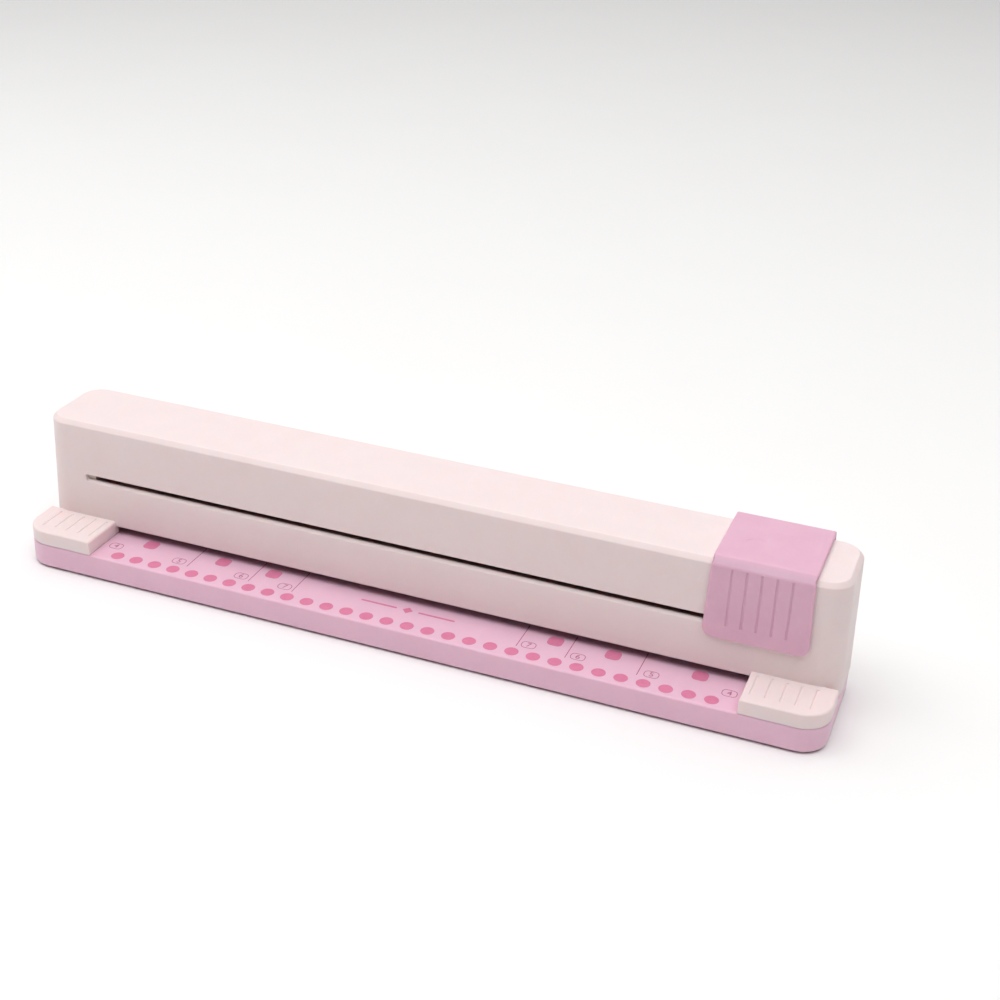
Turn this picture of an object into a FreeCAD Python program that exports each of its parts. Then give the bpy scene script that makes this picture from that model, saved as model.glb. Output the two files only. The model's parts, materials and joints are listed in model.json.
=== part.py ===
import FreeCAD, Part
import math
import os
import re
import Sketcher

# Sliding thirty-hole paper punch. +X runs along the punch, +Y to the rear, +Z up, in millimetres.
# The origin is under the middle of the punch, on the surface that its rubber feet stand on.

doc = FreeCAD.newDocument("HolePunch")
sheet = doc.addObject("Spreadsheet::Sheet", "Sizes")

sizes = {
    # base moulding and what closes it
    "footDrop": 1.0,
    "cutOver": 1.0,
    "mergeIn": 0.5,
    "baseLength": 369.5,
    "baseFront": 31.45,
    "baseRear": 30.95,
    "baseCorner": 12.0,
    "deckTop": 12.1,
    "deckThick": 2.2,
    "wall": 2.2,
    "edgeRound": 0.6,
    "plateThick": 2.0,
    "plateGap": 0.15,
    "footRound": 5.0,
    "footSunk": 1.0,
    "footX": 165.0,
    "footY": 22.0,
    "dieSeat": 10.1,
    "seatRim": 2.0,
    "seatRear": 1.0,
    "seatUnder": 1.0,
    "chipLength": 290.0,
    "chipDepth": 9.0,
    # housing moulding
    "housingLength": 370.0,
    "housingTopLength": 366.8,
    "housingFront": 9.45,
    "housingRear": 29.95,
    "housingTop": 65.6,
    "housingCorner": 10.4,
    "topChamfer": 1.95,
    "cavityLength": 361.6,
    "padTop": 18.8,
    "padInner": 149.3,
    "ribCount": 5,
    "ribGap": 6.1,
    "ribFront": 3.0,
    "ribLong": 14.5,
    "ribWide": 0.8,
    "ribDeep": 0.45,
    "slotLength": 327.0,
    "slotLow": 37.4,
    "slotHigh": 2.7,
    "bossRound": 3.4,
    "bossHigh": 10.0,
    "rearScrewX": 174.0,
    "rearScrewY": 24.5,
    "frontScrewX": 167.0,
    "frontScrewY": 20.0,
    "housingBite": 4.4,
    # punching unit
    "throat": 4.2,
    "holePitch": 9.5,
    "holeCount": 30,
    "pinRow": 8.0,
    "paperEdge": 6.5,
    "pinRound": 2.75,
    "pinFit": 0.05,
    "pinTip": 16.5,
    "headLow": 41.0,
    "headRound": 4.0,
    "headRim": 2.0,
    "headDome": 1.5,
    "springWire": 0.6,
    "springRound": 3.9,
    "dieThick": 2.0,
    "dieFront": 0.3,
    "dieDepth": 19.4,
    "unitLength": 356.0,
    "sheetThick": 1.5,
    "flangeTop": 32.0,
    "spacerInner": 152.0,
    # slider and the rail that it runs on
    "sliderRest": 149.2,
    "sliderTopLength": 41.8,
    "sliderFootLength": 44.2,
    "sliderFront": 11.25,
    "sliderRear": 31.45,
    "sliderTop": 67.9,
    "sliderFoot": 31.4,
    "sliderChamfer": 3.27,
    "sliderCorner": 4.5,
    "sliderRound": 0.6,
    "sliderGap": 0.35,
    "rearLip": 58.0,
    "gripLow": 37.8,
    "gripHigh": 26.2,
    "gripDeep": 0.45,
    "tongueLength": 20.4,
    "tongueThick": 2.1,
    "tongueIn": 8.2,
    "rodRound": 3.0,
    "rodSpread": 6.0,
    "rodHeight": 55.5,
    "rodLength": 340.0,
    "rodFit": 0.06,
    "bracketAt": 166.0,
    "bracketHigh": 29.5,
    "bracketInset": 1.0,
    "bracketScrewX": 172.5,
    "bracketScrewFront": 4.0,
    "bracketScrewRear": 14.0,
    "railRim": 2.0,
    "camGap": 0.3,
    "camRise": 5.3,
    "camHalf": 11.9,
    "camNose": 1.5,
    "camBack": 1.2,
    "camBite": 3.0,
    "camWide": 9.0,
    "carriageTop": 61.0,
    "carriageHalf": 12.0,
    "legFront": -6.7,
    "legDeep": 4.9,
    "stopInner": 159.5,
    "stopThick": 5.5,
    "stopOver": 1.2,
    "stopDeep": 5.2,
    # chip tray under the dies
    "trayLow": 3.2,
    "trayTop": 8.8,
    "trayFront": 9.0,
    "trayRear": 14.0,
    "trayEnd": 150.0,
    "trayWall": 1.2,
    "trayGap": 0.3,
    "trayFloor": 1.0,
    "notchLength": 16.0,
    "notchHigh": 3.2,
    "notchDeep": 1.2,
    # screws
    "screwRound": 1.5,
    "screwHead": 2.8,
    "screwHeadHigh": 2.0,
    "slotWide": 0.7,
    "slotDeep": 0.5,
    "headGap": 0.2,
    "unitScrewX": 120.0,
    "unitScrewY": 17.2,
    "frameScrewInner": 156.0,
    "frameScrewOuter": 163.0,
    "plateScrewX": 100.0,
    "plateScrewFront": 22.0,
    "plateScrewRear": 25.5,
    "camScrewX": 6.0,
    "plateSunk": 1.2,
    "plateHeadHigh": 1.0,
    "plateScrewLong": 6.0,
    "capScrewRound": 1.0,
    "capScrewHead": 1.9,
    "capScrewHeadHigh": 1.3,
    "capScrewLong": 8.0,
    "capScrewX": 6.0,
    "capScrewY": -4.2,
}
for row, (alias, value) in enumerate(sizes.items(), start=1):
    sheet.set(f"A{row}", alias)
    sheet.set(f"B{row}", str(value))
    sheet.setAlias(f"B{row}", alias)
doc.recompute()

aliases = re.compile(r"\b(" + "|".join(sizes) + r")\b")
subparts = []


def bind(thing, place, text):
    thing.setExpression(place, aliases.sub(r"Sizes.\1", str(text)))


def keep(thing, label):
    thing.Label = label
    subparts.append(thing)
    return thing


def move(thing, x=0, y=0, z=0, place="Placement"):
    for axis, text in zip("xyz", (x, y, z)):
        bind(thing, f"{place}.Base.{axis}", text)
    return thing


# ---- PartDesign helpers

def plane(body, role):
    return next(f for f in body.Origin.OriginFeatures if f.Role == role)


def sketch(body, name, role, x=0, y=0, z=0):
    """A sketch on one of the body's own origin planes, its own origin moved to x, y, z in that plane."""
    drawn = body.newObject("Sketcher::SketchObject", name)
    drawn.AttachmentSupport = (plane(body, role), [""])
    drawn.MapMode = "FlatFace"
    return move(drawn, x, y, z, place="AttachmentOffset")


def size(drawn, kind, first, last, text):
    """A dimension between two sketch points that follows the sheet."""
    if str(text) == "0":
        axis = -2 if kind == "DistanceX" else -1
        drawn.addConstraint(Sketcher.Constraint("PointOnObject", *last, axis))
        return
    number = drawn.addConstraint(Sketcher.Constraint(kind, *first, *last, 1.0))
    drawn.renameConstraint(number, f"size{number}")
    bind(drawn, f"Constraints.size{number}", text)


def outline(drawn, corners):
    """A closed run of straight lines through corners given as sheet expressions."""
    count, first = len(corners), drawn.GeometryCount
    ring = [FreeCAD.Vector(math.cos(math.tau * n / count), math.sin(math.tau * n / count), 0)
            for n in range(count)]
    for n in range(count):
        drawn.addGeometry(Part.LineSegment(ring[n], ring[(n + 1) % count]), False)
    for n, (x, y) in enumerate(corners):
        after = first + (n - 1) % count
        drawn.addConstraint(Sketcher.Constraint("Coincident", after, 2, first + n, 1))
        size(drawn, "DistanceX", (-1, 1), (first + n, 1), x)
        size(drawn, "DistanceY", (-1, 1), (first + n, 1), y)
    return drawn


def rectangle(drawn, wide, high):
    return outline(drawn, [("0", "0"), (wide, "0"), (wide, high), ("0", high)])


def circle(drawn, radius, x="0", y="0"):
    number = drawn.addGeometry(Part.Circle(FreeCAD.Vector(1, 1, 0), FreeCAD.Vector(0, 0, 1), 1), False)
    size(drawn, "DistanceX", (-1, 1), (number, 3), x)
    size(drawn, "DistanceY", (-1, 1), (number, 3), y)
    round_ = drawn.addConstraint(Sketcher.Constraint("Radius", number, 1.0))
    drawn.renameConstraint(round_, f"round{round_}")
    bind(drawn, f"Constraints.round{round_}", radius)
    return drawn


def pad(body, drawn, length, both=False):
    made = body.newObject("PartDesign::Pad", drawn.Name + "Pad")
    made.Profile = drawn
    made.Midplane = both
    bind(made, "Length", length)
    body.Tip = made
    return made


def pocket(body, drawn, length=None, upward=False):
    """A cut of the given depth, or through everything both ways when no depth is given."""
    doc.recompute()
    before = body.Shape.Volume
    made = body.newObject("PartDesign::Pocket", drawn.Name + "Pocket")
    made.Profile = drawn
    made.Reversed = upward
    if length is None:
        made.Type = "ThroughAll"
        made.Midplane = True
    else:
        bind(made, "Length", length)
    body.Tip = made
    doc.recompute()
    if not body.Shape.Volume < before - 1e-3:
        raise RuntimeError(f"{made.Name} cuts nothing")
    return made


def along(body, feature, length, count):
    """The feature repeated along X."""
    made = body.newObject("PartDesign::LinearPattern", feature.Name + "Row")
    made.Originals = [feature]
    made.Direction = (plane(body, "X_Axis"), [""])
    bind(made, "Length", length)
    bind(made, "Occurrences", count)
    body.Tip = made
    doc.recompute()
    return made


def mirrored(body, features):
    """The features repeated on the other side of the middle of the punch."""
    made = body.newObject("PartDesign::Mirrored", features[0].Name + "Mirror")
    made.Originals = features
    made.MirrorPlane = (plane(body, "YZ_Plane"), [""])
    body.Tip = made
    doc.recompute()
    return made


def soften(body, kind, amount, chosen):
    """A fillet or chamfer on the edges that chosen accepts."""
    doc.recompute()
    base = body.Tip
    names = [f"Edge{n}" for n, edge in enumerate(base.Shape.Edges, start=1) if chosen(edge)]
    made = body.newObject("PartDesign::" + kind, base.Name + kind)
    made.Base = (base, names)
    bind(made, "Size" if kind == "Chamfer" else "Radius", amount)
    body.Tip = made
    doc.recompute()
    return made


def upright(edge):
    box = edge.BoundBox
    return box.ZLength > 3 * max(box.XLength, box.YLength) and box.ZLength > 2


def near(value, target, room=0.05):
    return abs(value - target) < room


def level(edge, z):
    return near(edge.BoundBox.ZMin, z) and near(edge.BoundBox.ZMax, z)


# ---- Part helpers

def block(name, x, y, z, wide, deep, high):
    made = doc.addObject("Part::Box", name)
    for prop, text in (("Length", wide), ("Width", deep), ("Height", high)):
        bind(made, prop, text)
    return move(made, x, y, z)


def rod(name, radius, length, x=0, y=0, z=0, turn=None):
    """A cylinder that stands along Z, or along the axis that turn brings Z to."""
    made = doc.addObject("Part::Cylinder", name)
    if turn:
        made.Placement = FreeCAD.Placement(FreeCAD.Vector(), turn)
    bind(made, "Radius", radius)
    bind(made, "Height", length)
    return move(made, x, y, z)


def join(name, pieces):
    made = doc.addObject("Part::MultiFuse", name)
    made.Shapes = pieces
    made.Refine = True
    return made


def cut(name, base, tool):
    made = doc.addObject("Part::Cut", name)
    made.Base, made.Tool = base, tool
    return made


def group(name, pieces):
    """Separate solids that share one node."""
    made = doc.addObject("Part::Compound", name)
    made.Links = pieces
    return made


alongX = FreeCAD.Rotation(FreeCAD.Vector(0, 1, 0), 90)
sides = (("left", "-"), ("right", ""))

# places that more than one piece shares
firstHole = "-holePitch * (holeCount - 1) / 2"
rowLength = "holePitch * (holeCount - 1)"
unitEnd = "unitLength / 2"
tongueLow = "(slotLow + slotHigh / 2 - tongueThick / 2)"
camLow = "(headLow + headRim + headDome + camGap)"
carriageLow = f"({camLow} + camRise + camBack)"
railFront = "pinRow - rodSpread - rodRound - railRim"
railDeep = "2 * (rodSpread + rodRound + railRim)"
camScrewSeat = "(rodHeight + rodRound + headGap)"
housingScrewSpots = [(f"{side}{x}", y) for _, side in sides
                     for x, y in (("rearScrewX", "rearScrewY"), ("frontScrewX", "-frontScrewY"))]
frameScrewSpots = [f"{side}{x}" for _, side in sides for x in ("frameScrewInner", "frameScrewOuter")]
bracketScrewSpots = ["bracketScrewFront", "bracketScrewRear"]
unitScrewSpots = ["-unitScrewX", "0", "unitScrewX"]
plateScrewSpots = [(f"{side}plateScrewX", y) for _, side in sides
                   for y in ("-plateScrewFront", "plateScrewRear")]
footSpots = [(x, y) for x in ("-footX", "0", "footX") for y in ("-footY", "footY")]
camScrewSpots = ["-camScrewX", "camScrewX"]
capScrewSpots = ["-capScrewX", "capScrewX"]


def screw(name, x, y, seat, length, headUp=True, high="screwHeadHigh"):
    """A slotted pan-head screw whose head rests on seat, its shank below it, or above it when turned over."""
    shankLow, headLow, slotLow = f"{seat} - ({length})", seat, f"{seat} + {high} - slotDeep"
    if not headUp:
        shankLow, headLow, slotLow = seat, f"{seat} - {high}", f"{seat} - {high}"
    shank = rod(name + "Shank", "screwRound", length, x, y, shankLow)
    top = rod(name + "Head", "screwHead", high, x, y, headLow)
    slot = block(name + "Slot", f"{x} - slotWide / 2", f"{y} - screwHead", slotLow,
                 "slotWide", "2 * screwHead", "slotDeep")
    return cut(name, join(name + "Body", [shank, top]), slot)


def makeHousing():
    body = doc.addObject("PartDesign::Body", "housing")
    # seen from the front it is a low trapezium, because its two ends lean in a little
    front = sketch(body, "housingSketch", "XZ_Plane", "-housingLength / 2", "deckTop", "-housingRear")
    lean = "(housingLength - housingTopLength) / 2"
    outline(front, [("0", "0"), ("housingLength", "0"),
                    (f"housingLength - {lean}", "housingTop - deckTop"),
                    (lean, "housingTop - deckTop")])
    pad(body, front, "housingFront + housingRear")
    # hollow inside, open below
    inside = sketch(body, "housingCavity", "XY_Plane", "-cavityLength / 2", "wall - housingFront", "deckTop")
    rectangle(inside, "cavityLength", "housingFront + housingRear - 2 * wall")
    pocket(body, inside, "housingTop - wall - deckTop", upward=True)
    outer = sizes["housingTopLength"] / 2 - 0.1
    soften(body, "Fillet", "housingCorner - wall", lambda e: upright(e) and abs(e.BoundBox.XMax) < outer)
    soften(body, "Fillet", "housingCorner", lambda e: upright(e)
           and abs(e.Vertexes[0].X) > outer and e.Curve.TypeId == "Part::GeomLine")
    soften(body, "Chamfer", "topChamfer", lambda e: level(e, sizes["housingTop"]))
    # the two end pads, which stand on the front corners of the base
    padWide = "baseLength / 2 - padInner"
    rightPad = sketch(body, "endPadSketch", "XY_Plane", "padInner", "-baseFront", "deckTop")
    rectangle(rightPad, padWide, "baseFront - housingFront + wall")
    padRight = pad(body, rightPad, "padTop - deckTop")
    mirrored(body, [padRight])
    soften(body, "Fillet", "baseCorner", lambda e: upright(e)
           and near(e.BoundBox.YMin, -sizes["baseFront"]) and abs(e.BoundBox.XMin) > sizes["padInner"] + 5)
    soften(body, "Fillet", "edgeRound", lambda e: level(e, sizes["padTop"])
           and e.BoundBox.YMin < -sizes["housingFront"] - 1)
    # each end pad is hollow from below too
    padHollow = sketch(body, "endPadHollow", "XY_Plane", "padInner + wall", "wall - baseFront", "deckTop")
    rectangle(padHollow, f"{padWide} - baseCorner + wall", "baseFront - housingFront - 2 * wall")
    mirrored(body, [pocket(body, padHollow, "padTop - wall - deckTop", upward=True)])
    # the paper throat under the front wall, and the long slot for the slider's tongue
    throat = sketch(body, "throatSketch", "XZ_Plane", "-padInner", "deckTop", "housingFront + cutOver")
    rectangle(throat, "2 * padInner", "throat")
    pocket(body, throat, "wall + 2 * cutOver")
    slot = sketch(body, "slotSketch", "XZ_Plane", "-slotLength / 2", "slotLow",
                  "housingFront + cutOver")
    rectangle(slot, "slotLength", "slotHigh")
    pocket(body, slot, "wall + 2 * cutOver")
    # shallow grooves leave ribs in the top of each end pad
    for name, side in sides:
        groove = sketch(body, "padGroove_" + name, "XY_Plane",
                        f"{side}(padInner + baseLength / 2) / 2 - (ribCount - 1) / 2 * ribGap - ribWide / 2",
                        "ribFront - baseFront", "padTop")
        rectangle(groove, "ribWide", "ribLong")
        along(body, pocket(body, groove, "ribDeep"), "(ribCount - 1) * ribGap", "ribCount")
    # screw bosses in the rear corners and in the end pads
    for n, (x, y) in enumerate(housingScrewSpots):
        boss = sketch(body, f"housingBoss{n}", "XY_Plane", x, y, "deckTop")
        circle(boss, "bossRound")
        pad(body, boss, "padTop - wall - deckTop + mergeIn" if y.startswith("-") else "bossHigh")
        hole = sketch(body, f"housingScrewHole{n}", "XY_Plane", x, y, "deckTop")
        circle(hole, "screwRound")
        pocket(body, hole, "housingBite", upward=True)
    return keep(body, "housing")


def makeBase():
    body = doc.addObject("PartDesign::Body", "base")
    plan = sketch(body, "baseSketch", "XY_Plane", "-baseLength / 2", "-baseFront", "footDrop")
    rectangle(plan, "baseLength", "baseFront + baseRear")
    pad(body, plan, "deckTop - footDrop")
    # open from below, with the deck left on top
    under = sketch(body, "baseCavity", "XY_Plane", "wall - baseLength / 2", "wall - baseFront", "footDrop")
    rectangle(under, "baseLength - 2 * wall", "baseFront + baseRear - 2 * wall")
    pocket(body, under, "deckTop - deckThick - footDrop", upward=True)
    inner = sizes["baseLength"] / 2 - sizes["wall"]
    soften(body, "Fillet", "baseCorner - wall", lambda e: upright(e) and near(abs(e.BoundBox.XMin), inner))
    soften(body, "Fillet", "baseCorner", lambda e: upright(e)
           and near(abs(e.BoundBox.XMin), sizes["baseLength"] / 2))
    soften(body, "Fillet", "edgeRound", lambda e: level(e, sizes["deckTop"]))
    # the deck is thicker under the dies, and the die plate lies flush in it
    seat = sketch(body, "dieSeatSketch", "XY_Plane", "-unitLength / 2 - seatRim", "dieFront - seatRim",
                  "dieSeat - seatUnder")
    rectangle(seat, "unitLength + 2 * seatRim", "dieDepth + seatRim + seatRear")
    pad(body, seat, "seatUnder")
    recess = sketch(body, "dieRecess", "XY_Plane", "-unitLength / 2 - trayGap / 2", "dieFront - trayGap / 2",
                    "deckTop")
    rectangle(recess, "unitLength + trayGap", "dieDepth + trayGap")
    pocket(body, recess, "deckTop - dieSeat")
    window = sketch(body, "chipWindow", "XY_Plane", "-chipLength / 2", "pinRow - chipDepth / 2", "deckTop")
    rectangle(window, "chipLength", "chipDepth")
    pocket(body, window, "deckTop - dieSeat + seatUnder + cutOver")
    # the tray pulls out through the left end
    mouth = sketch(body, "trayMouth", "YZ_Plane", "-trayFront - trayGap", "footDrop + plateThick",
                   "-baseLength / 2 - cutOver")
    rectangle(mouth, "trayFront + trayRear + 2 * trayGap", "trayTop + trayGap - footDrop - plateThick")
    pocket(body, mouth, "wall + 2 * cutOver", upward=True)
    for n, (x, y) in enumerate(housingScrewSpots):
        hole = sketch(body, f"baseScrewHole{n}", "XY_Plane", x, y, "deckTop")
        circle(hole, "screwRound + pinFit")
        pocket(body, hole, "deckThick + cutOver")
    for n, x in enumerate(unitScrewSpots):
        hole = sketch(body, f"unitScrewHole{n}", "XY_Plane", x, "unitScrewY", "deckTop")
        circle(hole, "screwRound + pinFit")
        pocket(body, hole, "deckTop - dieSeat + seatUnder + cutOver")
    # bosses that take the screws of the bottom plate
    for n, (x, y) in enumerate(plateScrewSpots):
        boss = sketch(body, f"plateBoss{n}", "XY_Plane", x, y, "footDrop + plateThick")
        circle(boss, "bossRound")
        pad(body, boss, "deckTop - deckThick - footDrop - plateThick + mergeIn")
        hole = sketch(body, f"plateBossHole{n}", "XY_Plane", x, y, "footDrop + plateThick")
        circle(hole, "screwRound")
        pocket(body, hole, "plateScrewLong", upward=True)
    return keep(body, "base")


def makeBottomPlate():
    body = doc.addObject("PartDesign::Body", "bottom_plate")
    inset = "(wall + plateGap)"
    plan = sketch(body, "bottomPlateSketch", "XY_Plane", f"{inset} - baseLength / 2",
                  f"{inset} - baseFront", "footDrop")
    rectangle(plan, f"baseLength - 2 * {inset}", f"baseFront + baseRear - 2 * {inset}")
    pad(body, plan, "plateThick")
    soften(body, "Fillet", "baseCorner - wall - plateGap",
           lambda e: near(e.BoundBox.ZLength, sizes["plateThick"]) and near(e.BoundBox.XLength, 0))
    for n, (x, y) in enumerate(footSpots):
        seat = sketch(body, f"footSeat{n}", "XY_Plane", x, y, "footDrop")
        circle(seat, "footRound")
        pocket(body, seat, "footSunk", upward=True)
    for n, (x, y) in enumerate(plateScrewSpots):
        hole = sketch(body, f"plateHole{n}", "XY_Plane", x, y, "footDrop")
        circle(hole, "screwRound + pinFit")
        pocket(body, hole, "plateThick", upward=True)
        sink = sketch(body, f"plateSink{n}", "XY_Plane", x, y, "footDrop")
        circle(sink, "screwHead + headGap")
        pocket(body, sink, "plateSunk", upward=True)
    return keep(body, "bottom_plate")


def makeDiePlate():
    body = doc.addObject("PartDesign::Body", "die_plate")
    strip = sketch(body, "diePlateSketch", "XY_Plane", "-unitLength / 2", "dieFront", "dieSeat")
    rectangle(strip, "unitLength", "dieDepth")
    pad(body, strip, "dieThick")
    hole = sketch(body, "dieHole", "XY_Plane", firstHole, "pinRow", "deckTop")
    circle(hole, "pinRound + pinFit")
    along(body, pocket(body, hole, "dieThick"), rowLength, "holeCount")
    for n, x in enumerate(frameScrewSpots):
        tapped = sketch(body, f"tappedHole{n}", "XY_Plane", x, "pinRow", "deckTop")
        circle(tapped, "screwRound")
        pocket(body, tapped, "dieThick")
    for n, x in enumerate(unitScrewSpots):
        tapped = sketch(body, f"unitTappedHole{n}", "XY_Plane", x, "unitScrewY", "dieSeat")
        circle(tapped, "screwRound")
        pocket(body, tapped, "dieThick", upward=True)
    return keep(body, "die_plate")


def makePunchFrame():
    """One bent steel channel, open at the front, whose two flanges guide the pins."""
    body = doc.addObject("PartDesign::Body", "punch_frame")
    low, tall = "deckTop + throat", "flangeTop - deckTop - throat"
    section = sketch(body, "punchFrameSketch", "YZ_Plane", "dieFront", low, f"-{unitEnd}")
    outline(section, [("0", "0"), ("dieDepth", "0"), ("dieDepth", tall), ("0", tall),
                      ("0", f"{tall} - sheetThick"), ("dieDepth - sheetThick", f"{tall} - sheetThick"),
                      ("dieDepth - sheetThick", "sheetThick"), ("0", "sheetThick")])
    pad(body, section, "unitLength")
    soften(body, "Fillet", "sheetThick", lambda e: e.BoundBox.XLength > sizes["unitLength"] - 1
           and near(e.BoundBox.YMin, sizes["dieFront"] + sizes["dieDepth"]))
    hole = sketch(body, "guideHole", "XY_Plane", firstHole, "pinRow", "flangeTop")
    circle(hole, "pinRound + pinFit")
    along(body, pocket(body, hole, "flangeTop - deckTop"), rowLength, "holeCount")
    for n, x in enumerate(frameScrewSpots):
        reach = sketch(body, f"driverHole{n}", "XY_Plane", x, "pinRow", "flangeTop")
        circle(reach, "screwHead + 2 * headGap")
        pocket(body, reach, "sheetThick")
        seat = sketch(body, f"frameScrewHole{n}", "XY_Plane", x, "pinRow", f"{low} + sheetThick")
        circle(seat, "screwRound + pinFit")
        pocket(body, seat, "sheetThick")
    for n, (side, y) in enumerate((side, y) for _, side in sides for y in bracketScrewSpots):
        tapped = sketch(body, f"bracketTapped{n}", "XY_Plane", f"{side}bracketScrewX", y, "flangeTop")
        circle(tapped, "screwRound")
        pocket(body, tapped, "sheetThick")
    return keep(body, "punch_frame")


def makeSpacer(label, side):
    """A block that holds the frame one throat height above the dies, beyond the widest sheet."""
    left = f"-{unitEnd}" if side else "spacerInner"
    solid = block(label + "Block", left, "dieFront", "deckTop", f"{unitEnd} - spacerInner", "dieDepth",
                  "throat")
    holes = [rod(f"{label}Hole{n}", "screwRound + pinFit", "throat", x, "pinRow", "deckTop")
             for n, x in enumerate(frameScrewSpots) if x.startswith("-") == bool(side)]
    return keep(cut(label, solid, group(label + "Holes", holes)), label)


def makePaperStop():
    stop = block("paper_stop", "-spacerInner + plateGap", "pinRow + paperEdge", "deckTop",
                 "2 * (spacerInner - plateGap)", "dieFront + dieDepth - pinRow - paperEdge", "throat")
    return keep(stop, "paper_stop")


def makePin(number):
    """A steel pin with a domed head, turned in one piece."""
    label = f"punch_pin_{number:02d}"
    body = doc.addObject("PartDesign::Body", label)
    half = sketch(body, label + "_sketch", "XZ_Plane", 0, 0, 0)
    profile = [("0", "0"), ("pinRound", "0"), ("pinRound", "headLow - pinTip"),
               ("headRound", "headLow - pinTip"), ("headRound", "headLow - pinTip + headRim"),
               ("headRound - headDome", "headLow - pinTip + headRim + headDome"),
               ("0", "headLow - pinTip + headRim + headDome")]
    outline(half, profile)
    turned = body.newObject("PartDesign::Revolution", label + "_turned")
    turned.Profile = half
    turned.ReferenceAxis = (plane(body, "Z_Axis"), [""])
    turned.Angle = 360
    body.Tip = turned
    move(body, f"holePitch * ({number} - (holeCount + 1) / 2)", "pinRow", "pinTip")
    return keep(body, label)


def makeSprings():
    """One closed sleeve stands for each coil spring, between the frame and its pin's head."""
    sleeves = []
    for n in range(1, int(sizes["holeCount"]) + 1):
        x = f"holePitch * ({n} - (holeCount + 1) / 2)"
        outer = rod(f"springOuter{n}", "springRound", "headLow - flangeTop", x, "pinRow", "flangeTop")
        inner = rod(f"springInner{n}", "springRound - springWire", "headLow - flangeTop", x, "pinRow",
                    "flangeTop")
        sleeves.append(cut(f"springSleeve{n}", outer, inner))
    return keep(group("pin_springs", sleeves), "pin_springs")


def makeSliderCap():
    body = doc.addObject("PartDesign::Body", "slider_cap")
    # seen from the front it widens a little towards its lower edge
    face = sketch(body, "sliderSketch", "XZ_Plane", "-sliderFootLength / 2", "sliderFoot", "-sliderRear")
    lean = "(sliderFootLength - sliderTopLength) / 2"
    outline(face, [("0", "0"), ("sliderFootLength", "0"),
                   (f"sliderFootLength - {lean}", "sliderTop - sliderFoot"),
                   (lean, "sliderTop - sliderFoot")])
    pad(body, face, "sliderFront + sliderRear")
    soften(body, "Fillet", "sliderCorner", lambda e: e.BoundBox.YLength > sizes["sliderFront"]
           and level(e, sizes["sliderFoot"]))
    # hollow: it wraps the front, top and rear edge of the housing, and runs along them
    inner = sketch(body, "sliderHollow", "YZ_Plane", "-housingFront - sliderGap",
                   "sliderFoot - cutOver")
    far = "sliderRear + housingFront + sliderGap + cutOver"
    roof = "housingTop + sliderGap - sliderFoot + cutOver"
    lip = "rearLip - sliderFoot + cutOver"
    hook = "housingFront + housingRear + 2 * sliderGap"
    outline(inner, [("0", "0"), (far, "0"), (far, lip), (hook, lip), (hook, roof), ("0", roof)])
    pocket(body, inner)
    soften(body, "Chamfer", "sliderChamfer", lambda e: e.BoundBox.XLength > sizes["sliderTopLength"] / 2
           and near(e.BoundBox.YMin, -sizes["sliderFront"]) and level(e, sizes["sliderTop"]))
    soften(body, "Fillet", "sliderRound", sliderEdge)
    # the grip grooves down the front
    groove = sketch(body, "gripGroove", "XZ_Plane", "-(ribCount - 1) / 2 * ribGap - ribWide / 2", "gripLow",
                    "sliderFront")
    rectangle(groove, "ribWide", "gripHigh")
    along(body, pocket(body, groove, "gripDeep"), "(ribCount - 1) * ribGap", "ribCount")
    # the tongue that passes through the slot in the housing
    tongue = sketch(body, "tongueSketch", "XY_Plane", "-tongueLength / 2",
                    "-housingFront - sliderGap - mergeIn", tongueLow)
    rectangle(tongue, "tongueLength", "tongueIn + mergeIn")
    pad(body, tongue, "tongueThick")
    for n, x in enumerate(capScrewSpots):
        hole = sketch(body, f"tongueHole{n}", "XY_Plane", x, "capScrewY", f"{tongueLow} + tongueThick")
        circle(hole, "capScrewRound + pinFit")
        pocket(body, hole, "tongueThick")
    move(body, "sliderRest")
    return keep(body, "slider_cap")


def sliderEdge(edge, room=0.35):
    """Whether an edge lies on the outside of the slider cap and isn't already smooth."""
    box = edge.BoundBox
    onFront = box.YMax < room - sizes["sliderFront"]
    onTop = box.ZMin > sizes["sliderTop"] - room
    onBack = box.YMin > sizes["sliderRear"] - room
    return onFront or onTop or onBack


def makeCarriage():
    """The block inside that runs on the two rods, with the leg that comes down to the slider's tongue."""
    body = block("carriageBlock", "sliderRest - carriageHalf", railFront, carriageLow,
                 "2 * carriageHalf", railDeep, f"carriageTop - {carriageLow}")
    leg = block("carriageLeg", "sliderRest - tongueLength / 2", "legFront", f"{tongueLow} + tongueThick",
                "tongueLength", "legDeep", f"carriageTop - {tongueLow} - tongueThick")
    bores = [rod(f"carriageBore{n}", "rodRound + rodFit", "4 * carriageHalf", "sliderRest - 2 * carriageHalf",
                 f"pinRow {way} rodSpread", "rodHeight", alongX) for n, way in enumerate("-+")]
    taps = [rod(f"carriageTap{n}", "capScrewRound", "capScrewLong - tongueThick", f"sliderRest + {x}",
                "capScrewY", f"{tongueLow} + tongueThick") for n, x in enumerate(capScrewSpots)]
    holes = [rod(f"carriageHole{n}", "screwRound + pinFit", "carriageTop", f"sliderRest + {x}", "pinRow",
                 carriageLow)
             for n, x in enumerate(camScrewSpots)]
    sinks = [rod(f"carriageSink{n}", "screwHead + headGap", "carriageTop", f"sliderRest + {x}", "pinRow",
                 camScrewSeat)
             for n, x in enumerate(camScrewSpots)]
    tools = group("carriageHoles", bores + taps + [join(f"carriageWell{n}", [hole, sink])
                                                   for n, (hole, sink) in enumerate(zip(holes, sinks))])
    return keep(cut("carriage", join("carriageBody", [body, leg]), tools), "carriage")


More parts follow.
